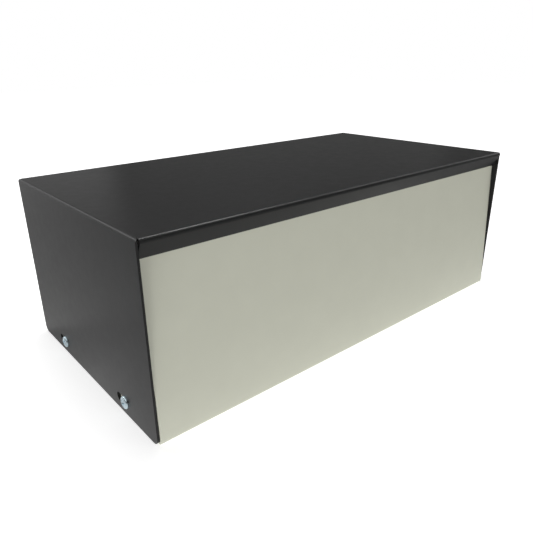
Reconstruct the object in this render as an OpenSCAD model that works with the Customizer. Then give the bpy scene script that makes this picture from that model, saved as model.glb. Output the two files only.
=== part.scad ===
// Two-piece steel instrument enclosure.
// A folded cover (top, side walls, front and rear lips) closes over a folded chassis
// (bottom, front and rear panels, side flanges). Screws through slots in the side walls
// hold the cover, which can slide back until its front lip meets the front panel.
// Millimetres. +X is the width, -Y the front, +Z up, origin under the middle of the cover.

/* [Body] */
// Width over the cover's side walls
body_w = 292; // [150:1:450]
// Depth of the cover's side walls
body_d = 152; // [110:1:300]
// Height of the cover's top face above the chassis underside
body_h = 103.2; // [60:0.1:200]

/* [Cover] */
// Thickness of the cover's sheet
cover_t = 1.2; // [0.8:0.1:2]
// Inside radius of the cover's bends
cover_ri = 0.4; // [0.2:0.1:2]
// Distance that each lip's nose stands out past the wall edges
lip_nose = 1.1; // [0.2:0.1:1.2]
// Flat length of each lip below its bend
lip_len = 8.1; // [4:0.1:16]
// Angle that each lip leans in from upright
lip_lean = 25; // [5:1:40]
// Width of the corner relief beside each lip
relief_w = 0.6; // [0.3:0.1:1]
// Depth of the corner relief behind the lip's bend line
relief_d = 0.5; // [0.2:0.1:3]
// Radius of the lower corners of the side walls
wall_corner_r = 4; // [1:0.5:12]
// Height of the walls' lower edges above the chassis underside
wall_lift = 0.1; // [0:0.1:2]

/* [Chassis] */
// Thickness of the chassis sheet
chassis_t = 1.2; // [0.8:0.1:2]
// Inside radius of the chassis bends
chassis_ri = 1.6; // [0.2:0.1:2]
// Angle that the front and rear panels lean in from upright
panel_lean = 3.03; // [0:0.01:5]
// Gap between the panels' top edges and the cover's top sheet
panel_top_gap = 1; // [0.3:0.1:4]
// Gap between each panel's ends and the side walls
panel_side_gap = 0.3; // [0.2:0.1:2]
// Height that the side flanges rise above the screws
flange_over = 6.4; // [4:0.1:20]
// Gap between each side flange and the wall beside it
flange_gap = 0.6; // [0.05:0.05:1.2]
// Length of bare bottom edge between each panel's bend and the side flanges
flange_setback = 8; // [4:0.5:20]
// Radius of the upper corners of the side flanges
flange_corner_r = 4; // [1:0.5:6]
// Width of the bend reliefs at the ends of the side flanges
notch_w = 1.5; // [0.8:0.1:3]
// Depth of the bend reliefs behind the flange's bend line
notch_d = 0.6; // [0.2:0.1:2]

/* [Fit] */
// Gap between each lip and its panel with the cover centred on the chassis
lip_clear = 2.2; // [0.5:0.1:4]
// Gap between the front lip and the front panel with the cover slid back
front_gap = 0.35; // [0.05:0.05:0.4]
// Distance from each end of a side wall to the middle of its nearest slot
slot_inset = 35.5; // [20:0.25:45]
// Height of the slots and screws above the chassis underside
screw_z = 7.6; // [6:0.1:12]
// Distance that the screws stand forward of being centred on the chassis
screw_ahead = 1.5; // [0:0.1:4]
// Room between a screw and the end of its slot with the cover slid back
slot_spare = 0.8; // [0.5:0.05:4]
// Room between a screw and each side of its slot
slot_side = 0.75; // [0.2:0.05:1.2]
// Radial gap between a screw's thread and its hole in the flange
thread_gap = 0.05; // [0.02:0.01:0.2]

/* [Screws] */
// Diameter over the thread
screw_d = 3.5; // [2.5:0.1:4.5]
// Length under the head
screw_len = 9.5; // [7:0.5:16]
// Length of the pointed tip
screw_tip = 2.4; // [1:0.1:4]
// Diameter of the flat end of the tip
tip_end_d = 0.6; // [0.2:0.1:1.5]
// Overhang of the head past the thread
head_over = 1.75; // [1.3:0.05:2.5]
// Height of the head
head_h = 1.8; // [0.9:0.1:3]
// Height of the upright rim of the head
head_rim = 0.9; // [0.2:0.1:1.2]
// Width of each arm of the cross recess
recess_w = 0.9; // [0.5:0.1:1.4]
// Span of the cross recess at the top of the head
recess_span = 3.8; // [2.5:0.1:4.5]
// Depth of the cross recess
recess_h = 1; // [0.6:0.1:1.4]

/* [Hidden] */
$fn = 64;

// small overshoot that carries every cut clear of the faces it opens
cut = 1;

// outer bend radii
cover_r = cover_t + cover_ri;
chassis_r = chassis_t + chassis_ri;

// distance from mid-depth to the line where each lip's bend starts
lip_bend_y = body_d/2 + lip_nose - cover_r;
// inner lower corner of a lip, inward from the wall edge and up from the underside
lip_in_y = cover_r - lip_nose - cover_ri*cos(lip_lean) + lip_len*sin(lip_lean);
lip_in_z = body_h - cover_r - cover_ri*sin(lip_lean) - lip_len*cos(lip_lean);

// distance that the chassis stands forward of the middle of the cover
cover_back = lip_clear - front_gap;
// distance from the chassis middle to the outer face of a panel, carried down to the underside
panel_base_y = body_d/2 - lip_in_y - lip_clear + lip_in_z*tan(panel_lean);
// distance from the chassis middle to the axis of a panel's bend
panel_bend_y = panel_base_y - chassis_r*(1 + sin(panel_lean))/cos(panel_lean);
panel_top_z = body_h - cover_t - panel_top_gap;
panel_len = (panel_top_z - chassis_r*(1 + sin(panel_lean)))/cos(panel_lean);
panel_half_w = body_w/2 - cover_t - panel_side_gap;

flange_x = body_w/2 - cover_t - flange_gap;
flange_h = screw_z + flange_over;
// half the length of a side flange, down to a tenth of a millimetre
flange_half_len = floor(10*(panel_bend_y - flange_setback))/10;

slot_y = body_d/2 - slot_inset;
slot_len = screw_d + 2*(cover_back + screw_ahead + slot_spare);
slot_w = screw_d + 2*slot_side;
head_r = screw_d/2 + head_over;

// bent sheet about the origin: left of the Y axis and below the X axis turned by an angle
module bend(r, t, turn = 0) {
    far = 3*r;
    intersection() {
        difference() {
            circle(r);
            circle(r - t);
        }
        translate([-far, -far])
            square([far, 2*far]);
        rotate(turn)
            translate([-far, -far])
                square([2*far, far]);
    }
}

// carries a profile drawn in Y and Z along the width, centred
module along_width(len) {
    rotate([90, 0, 90])
        linear_extrude(height = len, center = true)
            children();
}

// carries a profile drawn in X and Z along the depth, centred
module along_depth(len) {
    rotate([90, 0, 0])
        linear_extrude(height = len, center = true)
            children();
}

// plate outline with two corners rounded, standing on y = 0, corners down
module rounded_foot(w, h, r) {
    translate([-w/2, r])
        square([w, h - r]);
    translate([-w/2 + r, 0])
        square([w - 2*r, 2*r]);
    for (s = [-1, 1])
        translate([s*(w/2 - r), r])
            circle(r);
}

// front half of the top sheet with its bend and leaning lip, in Y and Z
module lip_profile() {
    translate([-lip_bend_y, body_h - cover_t])
        square([lip_bend_y, cover_t]);
    translate([-lip_bend_y, body_h - cover_r]) {
        mirror([0, 1])
            bend(cover_r, cover_t, -lip_lean);
        rotate(lip_lean)
            translate([-cover_r, -lip_len])
                square([cover_t, lip_len]);
    }
}

module top_sheet() {
    along_width(body_w - 2*cover_r) {
        lip_profile();
        mirror([1, 0])
            lip_profile();
    }
}

// side wall with its bend into the top sheet, in X and Z
module wall_profile() {
    translate([body_w/2 - cover_t, wall_lift])
        square([cover_t, body_h - cover_r - wall_lift]);
    translate([body_w/2 - cover_r, body_h - cover_r])
        rotate(180)
            bend(cover_r, cover_t);
}

module wall_slots() {
    for (s = [-1, 1])
        translate([body_w/2, s*slot_y, screw_z])
            along_width(4*cover_t) {
                square([slot_len - slot_w, slot_w], center = true);
                for (e = [-1, 1])
                    translate([e*(slot_len - slot_w)/2, 0])
                        circle(d = slot_w);
            }
}

// slits that free the ends of the lips from the side bend
module corner_reliefs() {
    for (s = [-1, 1])
        translate([body_w/2 - cover_r, s*(lip_bend_y - relief_d + body_d/2), body_h])
            translate([0, -body_d/2, -cover_r])
                cube([relief_w, body_d, cover_r + cut]);
}

module side_wall() {
    difference() {
        intersection() {
            along_depth(body_d)
                wall_profile();
            translate([body_w/2, 0, wall_lift])
                along_width(4*cover_r)
                    rounded_foot(body_d, body_h, wall_corner_r);
        }
        wall_slots();
        corner_reliefs();
    }
}

module cover() {
    color([0.07, 0.07, 0.075]) {
        top_sheet();
        side_wall();
        mirror([1, 0, 0])
            side_wall();
    }
}

// front half of the bottom with its bend and leaning panel, in Y and Z
module panel_profile() {
    translate([-panel_bend_y, 0])
        square([panel_bend_y, chassis_t]);
    translate([-panel_bend_y, chassis_r]) {
        bend(chassis_r, chassis_t, -panel_lean);
        rotate(-panel_lean)
            translate([-chassis_r, 0])
                square([chassis_t, panel_len]);
    }
}

// room for one side flange and the reliefs at its ends
module flange_cutout() {
    bend_x = flange_x - chassis_r;
    translate([bend_x, -flange_half_len - notch_w, -cut])
        cube([2*chassis_r, 2*(flange_half_len + notch_w), chassis_t + 2*cut]);
    for (s = [-1, 1])
        translate([bend_x, s*(flange_half_len + notch_w/2), chassis_t/2])
            cube([2*notch_d, notch_w, chassis_t + 2*cut], center = true);
}

module side_flange() {
    difference() {
        intersection() {
            along_depth(2*flange_half_len) {
                translate([flange_x - chassis_t, chassis_r])
                    square([chassis_t, flange_h - chassis_r]);
                translate([flange_x - chassis_r, chassis_r])
                    mirror([1, 0])
                        bend(chassis_r, chassis_t);
            }
            translate([flange_x, 0, flange_h])
                mirror([0, 0, 1])
                    along_width(4*chassis_r)
                        rounded_foot(2*flange_half_len, flange_h + cut, flange_corner_r);
        }
        for (s = [-1, 1])
            translate([flange_x, s*slot_y - screw_ahead, screw_z])
                rotate([0, 90, 0])
                    cylinder(h = 4*chassis_t, d = screw_d + 2*thread_gap, center = true);
    }
}

module chassis() {
    color([0.69, 0.69, 0.64])
        translate([0, -cover_back, 0]) {
            difference() {
                along_width(2*panel_half_w) {
                    panel_profile();
                    mirror([1, 0])
                        panel_profile();
                }
                flange_cutout();
                mirror([1, 0, 0])
                    flange_cutout();
            }
            side_flange();
            mirror([1, 0, 0])
                side_flange();
        }
}

// pan-head screw standing on its head's seat, shank down
module pan_screw() {
    dome_h = head_h - head_rim;
    dome_r = (head_r*head_r + dome_h*dome_h)/(2*dome_h);
    mouth_d = recess_span + (recess_span - recess_w)*cut/recess_h;
    color([0.78, 0.8, 0.82]) {
        difference() {
            rotate_extrude()
                intersection() {
                    square([head_r, head_h]);
                    translate([0, head_h - dome_r])
                        circle(dome_r);
                }
            translate([0, 0, head_h - recess_h])
                intersection() {
                    cylinder(h = recess_h + cut, d1 = recess_w, d2 = mouth_d);
                    for (a = [0, 90])
                        rotate(a)
                            translate([-recess_span, -recess_w/2, 0])
                                cube([2*recess_span, recess_w, recess_h + cut]);
                }
        }
        translate([0, 0, screw_tip - screw_len])
            cylinder(h = screw_len - screw_tip, d = screw_d);
        translate([0, 0, -screw_len])
            cylinder(h = screw_tip, d1 = tip_end_d, d2 = screw_d);
    }
}

// seats a screw on a side wall, side -1 left or 1 right, end -1 front or 1 rear
module seated_screw(side, end) {
    translate([side*body_w/2, end*slot_y - cover_back - screw_ahead, screw_z])
        rotate([0, side*90, 0])
            pan_screw();
}

module screw_front_left() {
    seated_screw(-1, -1);
}

module screw_front_right() {
    seated_screw(1, -1);
}

module screw_rear_left() {
    seated_screw(-1, 1);
}

module screw_rear_right() {
    seated_screw(1, 1);
}

cover();
chassis();
screw_front_left();
screw_front_right();
screw_rear_left();
screw_rear_right();
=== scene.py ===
import math

import bmesh
import bpy
from mathutils import Matrix, Vector


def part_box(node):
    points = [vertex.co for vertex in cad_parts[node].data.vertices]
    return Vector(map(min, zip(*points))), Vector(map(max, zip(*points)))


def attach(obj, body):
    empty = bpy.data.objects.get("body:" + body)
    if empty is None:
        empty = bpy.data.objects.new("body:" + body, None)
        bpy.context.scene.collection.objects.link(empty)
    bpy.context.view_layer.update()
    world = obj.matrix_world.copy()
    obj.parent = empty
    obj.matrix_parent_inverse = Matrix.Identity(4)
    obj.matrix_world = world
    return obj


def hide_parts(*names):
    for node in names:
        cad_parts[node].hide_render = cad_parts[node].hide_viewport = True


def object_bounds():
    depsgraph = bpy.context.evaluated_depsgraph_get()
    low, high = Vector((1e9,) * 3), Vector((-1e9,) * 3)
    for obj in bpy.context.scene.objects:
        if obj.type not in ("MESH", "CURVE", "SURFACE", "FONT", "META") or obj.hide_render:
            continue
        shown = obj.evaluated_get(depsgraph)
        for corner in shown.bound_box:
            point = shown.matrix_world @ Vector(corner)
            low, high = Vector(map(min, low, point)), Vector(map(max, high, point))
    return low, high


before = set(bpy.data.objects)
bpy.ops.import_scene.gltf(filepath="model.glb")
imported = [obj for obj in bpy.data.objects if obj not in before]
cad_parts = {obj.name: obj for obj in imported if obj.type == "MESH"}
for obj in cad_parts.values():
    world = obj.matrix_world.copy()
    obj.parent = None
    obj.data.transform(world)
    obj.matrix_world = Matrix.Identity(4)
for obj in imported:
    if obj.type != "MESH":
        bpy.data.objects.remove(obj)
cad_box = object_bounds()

# The chassis is one blank of 1.2 mm sheet steel: the bottom, a blank front and rear panel and two short
# turned-up side flanges. It is folded on a press brake and enamelled a light beige grey all over.
# The cover's screws cut their own thread in the holes of its side flanges.
MM = 0.001
SAME_POINT = 0.001 * MM
SAME_FLAT = math.radians(0.3)
CUT_EDGE_ANGLE = math.radians(40)
CUT_EDGE_ROUND = 0.16 * MM
CUT_EDGE_STEPS = 3
SHEET_CREASE_ANGLE = math.radians(35)
ENAMEL_BEIGE_GREY = (0.474, 0.479, 0.402)
ENAMEL_SPECULAR = 0.35
# the stretch of values that noise mostly keeps to
NOISE_MIDDLE = (0.3, 0.7)


def deburred_sheet(node, piece_name):
    """A merged copy of a folded sheet whose cut edges are rounded the way tumbling and paint leave them."""
    bm = bmesh.new()
    bm.from_mesh(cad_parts[node].data)
    bmesh.ops.remove_doubles(bm, verts=bm.verts, dist=SAME_POINT)
    bmesh.ops.dissolve_limit(bm, angle_limit=SAME_FLAT, verts=bm.verts, edges=bm.edges)
    cut_edges = [edge for edge in bm.edges if edge.calc_face_angle(0) > CUT_EDGE_ANGLE]
    bmesh.ops.bevel(
        bm, geom=cut_edges, offset=CUT_EDGE_ROUND, offset_type="OFFSET", affect="EDGES",
        segments=CUT_EDGE_STEPS, profile=0.5, material=-1, clamp_overlap=True)
    for face in bm.faces:
        face.smooth = True
    for edge in bm.edges:
        edge.smooth = edge.calc_face_angle(0) < SHEET_CREASE_ANGLE
    mesh = bpy.data.meshes.new(piece_name)
    bm.to_mesh(mesh)
    bm.free()
    piece = bpy.data.objects.new(piece_name, mesh)
    bpy.context.scene.collection.objects.link(piece)
    flats = piece.modifiers.new("even_flats", "WEIGHTED_NORMAL")
    flats.keep_sharp = True
    return piece


def grains(tree, size):
    """Noise whose grains are about size metres across, fixed to the piece."""
    place = tree.nodes.new("ShaderNodeTexCoord")
    noise = tree.nodes.new("ShaderNodeTexNoise")
    noise.inputs["Scale"].default_value = 1 / size
    tree.links.new(place.outputs["Object"], noise.inputs["Vector"])
    return noise.outputs["Fac"]


def mapped(tree, value, from_range, to_range):
    """The value carried over from one range to another and held at its ends."""
    step = tree.nodes.new("ShaderNodeMapRange")
    step.inputs["From Min"].default_value, step.inputs["From Max"].default_value = from_range
    step.inputs["To Min"].default_value, step.inputs["To Max"].default_value = to_range
    tree.links.new(value, step.inputs["Value"])
    return step.outputs["Result"]


def clouded_finish(
        name, colour, colour_swing, colour_grain, roughness, roughness_grain, relief, relief_grain):
    """A finish with faint clouds in its colour and gloss and a fine relief such as orange peel."""
    finish = bpy.data.materials.new(name)
    finish.use_nodes = True
    tree = finish.node_tree
    shader = tree.nodes["Principled BSDF"]
    clouds = tree.nodes.new("ShaderNodeValToRGB")
    shades = (1 - colour_swing, 1 + colour_swing)
    for stop, position, shade in zip(clouds.color_ramp.elements, NOISE_MIDDLE, shades):
        stop.position = position
        stop.color = [shade * channel for channel in colour] + [1.0]
    tree.links.new(grains(tree, colour_grain), clouds.inputs["Fac"])
    tree.links.new(clouds.outputs["Color"], shader.inputs["Base Color"])
    gloss = mapped(tree, grains(tree, roughness_grain), NOISE_MIDDLE, roughness)
    tree.links.new(gloss, shader.inputs["Roughness"])
    bump = tree.nodes.new("ShaderNodeBump")
    bump.inputs["Distance"].default_value = relief
    tree.links.new(grains(tree, relief_grain), bump.inputs["Height"])
    tree.links.new(bump.outputs["Normal"], shader.inputs["Normal"])
    return finish, shader


enamel, enamel_shader = clouded_finish(
    "beige_grey_enamel", ENAMEL_BEIGE_GREY, colour_swing=0.012, colour_grain=14 * MM,
    roughness=(0.48, 0.54), roughness_grain=9 * MM, relief=0.004 * MM, relief_grain=1.3 * MM)
enamel_shader.inputs["Specular IOR Level"].default_value = ENAMEL_SPECULAR

chassis = deburred_sheet("chassis", "folded_chassis")
chassis.data.materials.append(enamel)
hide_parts("chassis")
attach(chassis, "root")

# The cover is one blank of 1.2 mm sheet steel: top, two side walls and a lip along the front and rear,
# folded over the chassis and powder coated satin black. Slits at the four corners free the lips from
# the walls so that they can lean in, and each wall has two slots for screws near its lower edge.
POWDER_BLACK = (0.013, 0.013, 0.013)
POWDER_SPECULAR = 0.2

powder_coat, powder_shader = clouded_finish(
    "satin_black_powder_coat", POWDER_BLACK, colour_swing=0.05, colour_grain=6 * MM,
    roughness=(0.285, 0.315), roughness_grain=5 * MM, relief=0.004 * MM, relief_grain=0.9 * MM)
powder_shader.inputs["Specular IOR Level"].default_value = POWDER_SPECULAR

cover = deburred_sheet("cover", "folded_cover")
cover.data.materials.append(powder_coat)
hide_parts("cover")
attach(cover, "root")

# The four screws are pan heads with a cross recess on a 3.5 mm sheet-metal thread, headed and rolled
# from steel wire and bright zinc plated. Each passes through a slot of the cover into the chassis flange,
# cuts its own thread there and clamps the wall under its head.
HEAD_RADIUS = 3.5 * MM
HEAD_HEIGHT = 1.8 * MM
HEAD_RIM = 0.9 * MM
HEAD_SHOULDER = 0.9 * MM
HEAD_SEAT_BREAK = 0.06 * MM
NECK_FLARE = 0.25 * MM
RECESS_SPAN = 3.8 * MM
RECESS_ARM = 0.9 * MM
RECESS_DEPTH = 0.95 * MM
# width of the floor of the recess as a share of its mouth
RECESS_FLOOR_SHARE = 0.6
CORE_RADIUS = 1.32 * MM
SHANK_LENGTH = 9.5 * MM
POINT_LENGTH = 2.4 * MM
POINT_RADIUS = 0.3 * MM
THREAD_RADIUS = 1.74 * MM
THREAD_PITCH = 1.27 * MM
THREAD_TURNS = 6.4
THREAD_START = 0.9 * MM
RIDGE_ROOT_WIDTH = 0.8 * MM
RIDGE_CREST_WIDTH = 0.1 * MM
RIDGE_SINK = 0.06 * MM
# share of its radius that the thread loses by the tip
RIDGE_DRAWN_IN = 0.8
DOME_STEPS = 9
SHOULDER_STEPS = 7
ROUND_STEPS = 56
THREAD_STEPS_A_TURN = 26
SCREW_CREASE_ANGLE = math.radians(32)
ZINC = (0.70, 0.84, 0.91)
# how far each screw had turned when it came tight, in degrees
RECESS_TURN = {"front_left": 20, "rear_left": 52, "front_right": 75, "rear_right": 8}


def turned_blank():
    """Head and core turned about Z from one outline, the seat of the head on Z = 0 and the point down."""
    blank = bmesh.new()
    dome_rise = HEAD_HEIGHT - HEAD_RIM
    dome_radius = (HEAD_RADIUS ** 2 + dome_rise ** 2) / (2 * dome_rise)
    shoulder_middle = HEAD_RADIUS - HEAD_SHOULDER
    dome_angle = math.asin(shoulder_middle / (dome_radius - HEAD_SHOULDER))
    crown = blank.verts.new((0, 0, HEAD_HEIGHT))
    dome = bmesh.ops.spin(
        blank, geom=[crown], cent=(0, 0, HEAD_HEIGHT - dome_radius), axis=(0, 1, 0),
        angle=dome_angle, steps=DOME_STEPS)
    last = dome["geom_last"][0]
    shoulder_low = last.co.z - HEAD_SHOULDER * math.cos(dome_angle)
    shoulder = bmesh.ops.spin(
        blank, geom=[last], cent=(shoulder_middle, 0, shoulder_low), axis=(0, 1, 0),
        angle=math.pi / 2 - dome_angle, steps=SHOULDER_STEPS)
    last = shoulder["geom_last"][0]
    rim_to_point = (
        (HEAD_RADIUS, HEAD_SEAT_BREAK), (HEAD_RADIUS - HEAD_SEAT_BREAK, 0),
        (CORE_RADIUS + NECK_FLARE, 0), (CORE_RADIUS, -NECK_FLARE),
        (CORE_RADIUS, POINT_LENGTH - SHANK_LENGTH), (POINT_RADIUS, -SHANK_LENGTH), (0, -SHANK_LENGTH))
    for radius, height in rim_to_point:
        point = blank.verts.new((radius, 0, height))
        blank.edges.new((last, point))
        last = point
    bmesh.ops.spin(
        blank, geom=blank.verts[:] + blank.edges[:], cent=(0, 0, 0), axis=(0, 0, 1),
        angle=2 * math.pi, steps=ROUND_STEPS, use_merge=True)
    bmesh.ops.remove_doubles(blank, verts=blank.verts, dist=SAME_POINT)
    bmesh.ops.recalc_face_normals(blank, faces=blank.faces)
    return blank


def sink_cross_recess(blank):
    """Scores the outline of the cross in the dome and sinks the faces inside it to a tapered pocket."""
    near_recess = 0.8 * RECESS_SPAN
    for axis in ((1, 0, 0), (0, 1, 0)):
        for reach in (-RECESS_SPAN / 2, -RECESS_ARM / 2, RECESS_ARM / 2, RECESS_SPAN / 2):
            dome = [face for face in blank.faces if face.calc_center_median().z > HEAD_RIM
                    and face.calc_center_median().xy.length < near_recess]
            rims = list({edge for face in dome for edge in face.edges})
            ends = list({vert for face in dome for vert in face.verts})
            bmesh.ops.bisect_plane(
                blank, geom=dome + rims + ends, plane_co=Vector(axis) * reach, plane_no=axis,
                dist=SAME_POINT / 2)
    mouth = []
    for face in blank.faces:
        middle = face.calc_center_median()
        across, along = sorted((abs(middle.x), abs(middle.y)))
        if middle.z > HEAD_RIM and across < RECESS_ARM / 2 and along < RECESS_SPAN / 2:
            mouth.append(face)
    pocket = bmesh.ops.extrude_face_region(blank, geom=mouth)
    floor_verts = [item for item in pocket["geom"] if isinstance(item, bmesh.types.BMVert)]
    bmesh.ops.delete(blank, geom=[face for face in mouth if face.is_valid], context="FACES")
    floor_to_zero = Matrix.Translation((0, 0, RECESS_DEPTH - HEAD_HEIGHT))
    bmesh.ops.scale(
        blank, vec=(RECESS_FLOOR_SHARE, RECESS_FLOOR_SHARE, 0), space=floor_to_zero, verts=floor_verts)
    bmesh.ops.recalc_face_normals(blank, faces=blank.faces)


def roll_thread(blank):
    """Winds a ridge round the core, drawn in with the core along the point."""
    ridge = bmesh.new()
    root = CORE_RADIUS - RIDGE_SINK
    outline = (
        (root, RIDGE_ROOT_WIDTH / 2), (THREAD_RADIUS, RIDGE_CREST_WIDTH / 2),
        (THREAD_RADIUS, -RIDGE_CREST_WIDTH / 2), (root, -RIDGE_ROOT_WIDTH / 2))
    section = [ridge.verts.new((radius, 0, height - THREAD_START)) for radius, height in outline]
    sides = [ridge.edges.new((section[i], section[i - 1])) for i in range(len(section))]
    steps = int(THREAD_STEPS_A_TURN * THREAD_TURNS)
    bmesh.ops.spin(
        ridge, geom=section + sides, cent=(0, 0, 0), axis=(0, 0, 1),
        dvec=(0, 0, -THREAD_PITCH * THREAD_TURNS / steps), angle=2 * math.pi * THREAD_TURNS, steps=steps)
    open_ends = [edge for edge in ridge.edges if edge.is_boundary]
    bmesh.ops.holes_fill(ridge, edges=open_ends, sides=len(section))
    point_start = POINT_LENGTH - SHANK_LENGTH
    for vert in ridge.verts:
        down_the_point = max(0, point_start - vert.co.z) / POINT_LENGTH
        vert.co.xy = vert.co.xy * (1 - RIDGE_DRAWN_IN * down_the_point)
    bmesh.ops.recalc_face_normals(ridge, faces=ridge.faces)
    rolled = bpy.data.meshes.new("rolled_thread")
    ridge.to_mesh(rolled)
    ridge.free()
    blank.from_mesh(rolled)
    bpy.data.meshes.remove(rolled)


loose_screw = turned_blank()
sink_cross_recess(loose_screw)
roll_thread(loose_screw)
for face in loose_screw.faces:
    face.smooth = True
for edge in loose_screw.edges:
    edge.smooth = edge.calc_face_angle(0) < SCREW_CREASE_ANGLE

zinc, zinc_shader = clouded_finish(
    "bright_zinc_plate", ZINC, colour_swing=0.06, colour_grain=0.8 * MM,
    roughness=(0.24, 0.34), roughness_grain=0.5 * MM, relief=0.003 * MM, relief_grain=0.15 * MM)
zinc_shader.inputs["Metallic"].default_value = 1.0

for end_and_side, turn in RECESS_TURN.items():
    node = "screw_" + end_and_side
    low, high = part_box(node)
    out = 1 if low[0] > 0 else -1
    seat = (max(abs(low[0]), abs(high[0])) - HEAD_HEIGHT) * out
    seated = (
        Matrix.Translation((seat, (low[1] + high[1]) / 2, (low[2] + high[2]) / 2))
        @ Matrix.Rotation(out * math.pi / 2, 4, "Y")
        @ Matrix.Rotation(math.radians(turn), 4, "Z"))
    one = loose_screw.copy()
    bmesh.ops.transform(one, matrix=seated, verts=one.verts)
    screw_mesh = bpy.data.meshes.new("pan_head_" + node)
    one.to_mesh(screw_mesh)
    one.free()
    screw_mesh.materials.append(zinc)
    screw = bpy.data.objects.new("pan_head_" + node, screw_mesh)
    bpy.context.scene.collection.objects.link(screw)
    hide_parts(node)
    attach(screw, "root")
loose_screw.free()

# The studio table is a wide matt white board that the case stands on. The camera sees it white, with
# the case's soft shadow close round the case. A painted glow in it, brightest right beside the case,
# lights the case although the table is not a lamp, and a painted reflection makes the case's gloss
# show the table brightest in front.
TABLE_SIZE = 6.0
TABLE_DROP = 0.02 * MM
TABLE_WHITE = (0.85, 0.85, 0.85, 1.0)
TABLE_ROUGHNESS = 0.9
POOL_FRONT = -76 * MM
POOL_REAR = 76 * MM
# share of the white beside the case that is left to the lamps, so that its shadow shows
SHADOW_ROOM = 0.36
SHADOW_FADE = 60 * MM
# painted pool of light: the table glows onto the case right beside it, although it is not a lamp
POOL_LIGHT = 0.95
POOL_LIGHT_FADE = 80 * MM
# painted reflection: how bright the table shows in the case's gloss in front of the case, seen by no other
# ray
SHEEN_FRONT = -100 * MM
SHEEN_REAR = 0.0
SHEEN_LIGHT = 0.48
SHEEN_FADE = 50 * MM


def worked_out(tree, operation, *values):
    """One step of arithmetic on sockets and plain numbers."""
    step = tree.nodes.new("ShaderNodeMath")
    step.operation = operation
    for slot, value in zip(step.inputs, values):
        if isinstance(value, (int, float)):
            slot.default_value = value
        else:
            tree.links.new(value, slot)
    return step.outputs[0]


def chosen(tree, switch, off, on):
    """The value on where switch is 1 and the value off where it is 0."""
    mix = tree.nodes.new("ShaderNodeMix")
    mix.data_type = "FLOAT"
    tree.links.new(switch, mix.inputs["Factor"])
    for name, value in (("A", off), ("B", on)):
        if isinstance(value, (int, float)):
            mix.inputs[name].default_value = value
        else:
            tree.links.new(value, mix.inputs[name])
    return mix.outputs["Result"]


def shown(tree, as_light, in_gloss, to_camera):
    """One strength for lighting the case, one for its gloss and one for the camera, through glass too."""
    ray = tree.nodes.new("ShaderNodeLightPath")
    seen = worked_out(tree, "MAXIMUM", ray.outputs["Is Camera Ray"], ray.outputs["Is Transmission Ray"])
    return chosen(tree, seen, chosen(tree, ray.outputs["Is Glossy Ray"], as_light, in_gloss), to_camera)


def past(tree, place, low, high):
    """How far a place lies outside the stretch from low to high."""
    off_middle = worked_out(tree, "ABSOLUTE", worked_out(tree, "SUBTRACT", place, (low + high) / 2))
    return worked_out(tree, "MAXIMUM", worked_out(tree, "SUBTRACT", off_middle, (high - low) / 2), 0.0)


def pool(tree, spot, front, rear, fade, strength):
    """A painted glow on the table as wide as the case, even from front to rear and fading out all round."""
    past_side = past(tree, spot.outputs["X"], cad_box[0][0], cad_box[1][0])
    past_end = past(tree, spot.outputs["Y"], front, rear)
    past_end_squared = worked_out(tree, "MULTIPLY", past_end, past_end)
    away_squared = worked_out(tree, "MULTIPLY_ADD", past_side, past_side, past_end_squared)
    away = worked_out(tree, "SQRT", away_squared)
    fading = worked_out(tree, "EXPONENT", worked_out(tree, "MULTIPLY", away, -1 / fade))
    return worked_out(tree, "MULTIPLY", fading, strength)


table_bm = bmesh.new()
bmesh.ops.create_grid(table_bm, x_segments=1, y_segments=1, size=TABLE_SIZE / 2)
bmesh.ops.translate(table_bm, verts=table_bm.verts, vec=(0, 0, -TABLE_DROP))
table_mesh = bpy.data.meshes.new("studio_table")
table_bm.to_mesh(table_mesh)
table_bm.free()
table = bpy.data.objects.new("studio_table", table_mesh)
bpy.context.scene.collection.objects.link(table)

table_paint = bpy.data.materials.new("white_table")
table_paint.use_nodes = True
tree = table_paint.node_tree
matt = tree.nodes["Principled BSDF"]
matt.inputs["Base Color"].default_value = TABLE_WHITE
matt.inputs["Roughness"].default_value = TABLE_ROUGHNESS
matt.inputs["Specular IOR Level"].default_value = 0.0
spot = tree.nodes.new("ShaderNodeSeparateXYZ")
tree.links.new(tree.nodes.new("ShaderNodeTexCoord").outputs["Object"], spot.inputs["Vector"])
# painted light and painted reflection glowing from the table round the case: one lights the case, the other
# shows only in its gloss
painted_light_pool = pool(tree, spot, POOL_FRONT, POOL_REAR, POOL_LIGHT_FADE, POOL_LIGHT)
painted_sheen_pool = pool(tree, spot, SHEEN_FRONT, SHEEN_REAR, SHEEN_FADE, SHEEN_LIGHT)
shadow_pool = pool(tree, spot, POOL_FRONT, POOL_REAR, SHADOW_FADE, SHADOW_ROOM)
white_with_shadow = worked_out(tree, "SUBTRACT", 1.0, shadow_pool)
glow = tree.nodes.new("ShaderNodeEmission")
tree.links.new(shown(tree, painted_light_pool, painted_sheen_pool, white_with_shadow), glow.inputs["Strength"])
both = tree.nodes.new("ShaderNodeAddShader")
tree.links.new(matt.outputs["BSDF"], both.inputs[0])
tree.links.new(glow.outputs["Emission"], both.inputs[1])
tree.links.new(both.outputs["Shader"], tree.nodes["Material Output"].inputs["Surface"])
# its strength differs from ray to ray, so it isn't sampled as a lamp
table_paint.cycles.emission_sampling = "NONE"
table_mesh.materials.append(table_paint)

# The surround is the white studio behind the table: plain white to the camera and only a faint light on
# the case. In the case's gloss it shows a painted reflection: white along the horizon and overhead, dark
# between the two, and none of that white lights the case.
SURROUND_LIGHT = 0.08
# elevations over which the painted reflection's white fades out above the horizon and comes up overhead
HORIZON_FADE = (math.radians(0), math.radians(6))
CEILING_FADE = (math.radians(30), math.radians(50))

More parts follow.
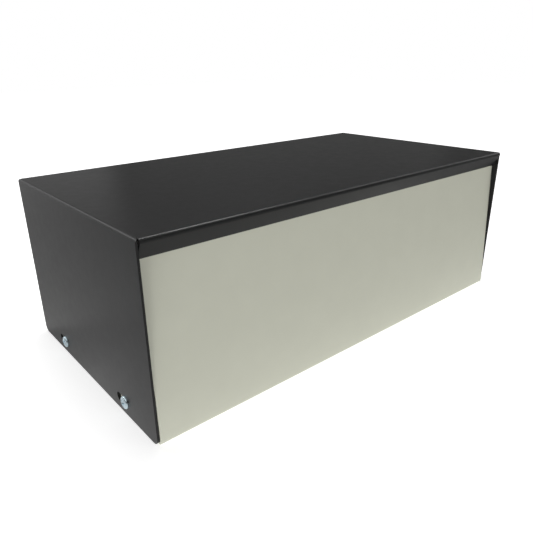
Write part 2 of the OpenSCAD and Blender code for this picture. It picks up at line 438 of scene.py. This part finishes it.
world = bpy.data.worlds.new("white_surround")
bpy.context.scene.world = world
world.use_nodes = True
tree = world.node_tree
direction = tree.nodes.new("ShaderNodeSeparateXYZ")
tree.links.new(tree.nodes.new("ShaderNodeTexCoord").outputs["Generated"], direction.inputs["Vector"])
# painted reflection, seen only in gloss: a white band at the horizon and a white overhead sheen
horizon = mapped(tree, direction.outputs["Z"], [math.sin(rise) for rise in HORIZON_FADE], (1.0, 0.0))
painted_overhead_sheen = mapped(tree, direction.outputs["Z"], [math.sin(rise) for rise in CEILING_FADE], (0.0, 1.0))
painted_reflection = worked_out(tree, "ADD", horizon, painted_overhead_sheen)
backdrop = tree.nodes["Background"]
backdrop.inputs["Color"].default_value = (1.0, 1.0, 1.0, 1.0)
tree.links.new(shown(tree, SURROUND_LIGHT, painted_reflection, 1.0), backdrop.inputs["Strength"])
# not sampled as a lamp either
world.cycles.sampling_method = "NONE"

# The soft boxes are lamps behind white cloth on stands, all out of the picture. Three low ones fill the
# front panel and left wall and stay out of the gloss, those behind and to the right give the top and
# the folds their sheen, and three with grids over the cloth draw the light line along the front fold.
CASE_MIDDLE = (0, 0, 0.05)
NO_GRID = 180


def soft_box(name, at, width, height, watts, faces=CASE_MIDDLE, grid=NO_GRID, in_gloss=True):
    """A soft box at a point that faces another, its beam narrowed by a grid to so many degrees."""
    lamp = bpy.data.lights.new(name, "AREA")
    lamp.shape = "RECTANGLE"
    lamp.size = width
    lamp.size_y = height
    lamp.energy = watts
    lamp.spread = math.radians(grid)
    stand = bpy.data.objects.new(name, lamp)
    facing = (Vector(faces) - Vector(at)).to_track_quat("-Z", "Y").to_matrix().to_4x4()
    stand.matrix_world = Matrix.Translation(at) @ facing
    stand.visible_camera = False
    stand.visible_glossy = in_gloss
    bpy.context.scene.collection.objects.link(stand)


soft_box("low_front_box", at=(0, -1.2, 0.15), width=1.6, height=0.3, watts=4.25, in_gloss=False)
soft_box("low_left_box", at=(-1.3, -0.45, 0.2), width=0.8, height=0.35, watts=9.7, in_gloss=False)
soft_box("front_right_box", at=(0.9, -1.2, 0.25), width=0.8, height=0.4, watts=3.9, in_gloss=False)
soft_box("right_box", at=(1.45, -0.35, 0.7), width=0.6, height=0.4, watts=0.6)
soft_box("back_right_box", at=(1.1, 1.2, 0.6), width=1.2, height=0.8, watts=0.22)
soft_box("back_box", at=(0, 1.6, 0.6), width=1.2, height=0.8, watts=0.78)
soft_box("back_left_box", at=(-0.5, 1.3, 0.35), width=0.8, height=0.5, watts=0.5)
soft_box("low_back_left_box", at=(-0.9, 1.0, 0.2), width=0.6, height=0.3, watts=0.35)
soft_box("high_back_left_box", at=(-0.55, 1.05, 0.8), width=0.6, height=0.5, watts=2.9)
soft_box("high_back_box", at=(0.3, 1.0, 1.2), width=1.2, height=0.6, watts=3.9)
soft_box("near_fold_box", at=(0.42, 0.3, 0.95), width=0.3, height=0.3, watts=0.185,
         faces=(-0.08, -0.08, 0.1), grid=40)
soft_box("middle_fold_box", at=(0.9, 0.2, 0.8), width=0.5, height=0.3, watts=0.07,
         faces=(0, -0.08, 0.1), grid=50)
soft_box("far_fold_box", at=(1.3, 0, 0.62), width=0.6, height=0.4, watts=0.07,
         faces=(0.05, -0.08, 0.1), grid=50)

# The camera has a 35 mm lens and stands close to the front left corner of the case, a little above its top.
# It is turned to the right, tilted down and rolled by a hair, as the photograph's was.
CAMERA_AT = (-0.23074, -0.25853, 0.16947)
CAMERA_TURN = math.radians(-39.905)
CAMERA_TILT = math.radians(68.023)
CAMERA_ROLL = math.radians(-0.752)
LENS_MM = 35.0
SENSOR_MM = 36.0
NEAREST_SEEN = 0.01

lens = bpy.data.cameras.new("photo_view")
lens.sensor_width = SENSOR_MM
lens.lens = LENS_MM
lens.clip_start = NEAREST_SEEN
camera = bpy.data.objects.new("photo_view", lens)
camera.matrix_world = (
    Matrix.Translation(CAMERA_AT)
    @ Matrix.Rotation(CAMERA_TURN, 4, "Z")
    @ Matrix.Rotation(CAMERA_TILT, 4, "X")
    @ Matrix.Rotation(CAMERA_ROLL, 4, "Z"))
bpy.context.scene.collection.objects.link(camera)
bpy.context.scene.camera = camera
bpy.context.scene.view_settings.view_transform = "Standard"
